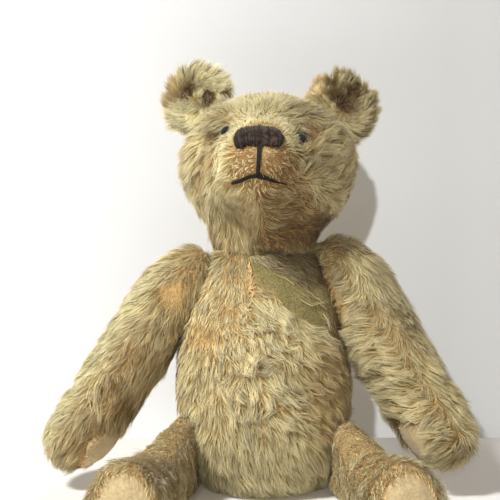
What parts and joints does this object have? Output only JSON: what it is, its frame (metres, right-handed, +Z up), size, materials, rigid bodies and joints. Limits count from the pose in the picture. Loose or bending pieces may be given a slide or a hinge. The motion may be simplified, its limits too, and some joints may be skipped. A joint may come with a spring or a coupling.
{
  "type": "teddy bear",
  "caption": "Threadbare old mohair teddy bear with disc joints, sitting, with a bald chest, a darned seam and a stitched nose.",
  "frame": {"origin": "on the floor, under the middle of the sitting bear's bounding box", "axes": "-Y the way the bear looks, +Z up, +X towards the bear's own left"},
  "size_m": [0.267, 0.2252, 0.2682],
  "materials": {
    "mohair": "worn pile",
    "wood_wool": "shredded",
    "repair_thread": "coarse thread",
    "floss": "stitched floss",
    "button": "polished, dulled",
    "felt": "worn felt",
    "fibreboard": "matt",
    "steel": "dull"
  },
  "bodies": {
    "trunk": {"trunk_cover": "mohair", "trunk_stuffing": "wood_wool", "chest_darning": "repair_thread", "neck_disc_in_trunk": "fibreboard", "neck_washer_in_trunk": "steel", "arm_left_disc_in_trunk": "fibreboard", "arm_left_washer_in_trunk": "steel", "arm_right_disc_in_trunk": "fibreboard", "arm_right_washer_in_trunk": "steel", "leg_left_disc_in_trunk": "fibreboard", "leg_left_washer_in_trunk": "steel", "leg_right_disc_in_trunk": "fibreboard", "leg_right_washer_in_trunk": "steel"},
    "head": {"head_cover": "mohair", "head_stuffing": "wood_wool", "ear_left": "mohair", "eye_left": "button", "ear_right": "mohair", "eye_right": "button", "nose_stitching": "floss", "mouth_stitching": "floss", "neck_disc_in_head": "fibreboard", "neck_washer_in_head": "steel", "neck_split_pin": "steel"},
    "arm_left": {"arm_left_cover": "mohair", "arm_left_stuffing": "wood_wool", "paw_pad_left": "felt", "arm_left_disc_in_arm": "fibreboard", "arm_left_washer_in_arm": "steel", "arm_left_split_pin": "steel"},
    "arm_right": {"arm_right_cover": "mohair", "arm_right_stuffing": "wood_wool", "paw_pad_right": "felt", "arm_right_disc_in_arm": "fibreboard", "arm_right_washer_in_arm": "steel", "arm_right_split_pin": "steel"},
    "leg_left": {"leg_left_cover": "mohair", "leg_left_stuffing": "wood_wool", "foot_pad_left": "felt", "leg_left_disc_in_leg": "fibreboard", "leg_left_washer_in_leg": "steel", "leg_left_split_pin": "steel"},
    "leg_right": {"leg_right_cover": "mohair", "leg_right_stuffing": "wood_wool", "foot_pad_right": "felt", "leg_right_disc_in_leg": "fibreboard", "leg_right_washer_in_leg": "steel", "leg_right_split_pin": "steel"}
  },
  "joints": [
    {"name": "neck_turn", "type": "hinge", "parent": "trunk", "child": "head", "pos_m": [0.0036, 0.05623, 0.14888], "axis": [0, 0.1219, 0.9925], "continuous": true},
    {"name": "arm_left_swing", "type": "hinge", "parent": "trunk", "child": "arm_left", "pos_m": [0.0438, 0.05398, 0.13052], "axis": [0.9272, 0.0457, 0.3718], "range_deg": [-100, 110]},
    {"name": "arm_right_swing", "type": "hinge", "parent": "trunk", "child": "arm_right", "pos_m": [-0.0366, 0.05307, 0.12308], "axis": [0.8988, -0.0534, -0.4351], "range_deg": [-100, 110]},
    {"name": "leg_left_swing", "type": "hinge", "parent": "trunk", "child": "leg_left", "pos_m": [0.0421, 0.03495, 0.0242], "axis": [0.9925, 0.1219, 0], "range_deg": [-8, 100]},
    {"name": "leg_right_swing", "type": "hinge", "parent": "trunk", "child": "leg_right", "pos_m": [-0.0349, 0.03495, 0.0242], "axis": [0.9925, -0.1219, 0], "range_deg": [-8, 100]}
  ]
}
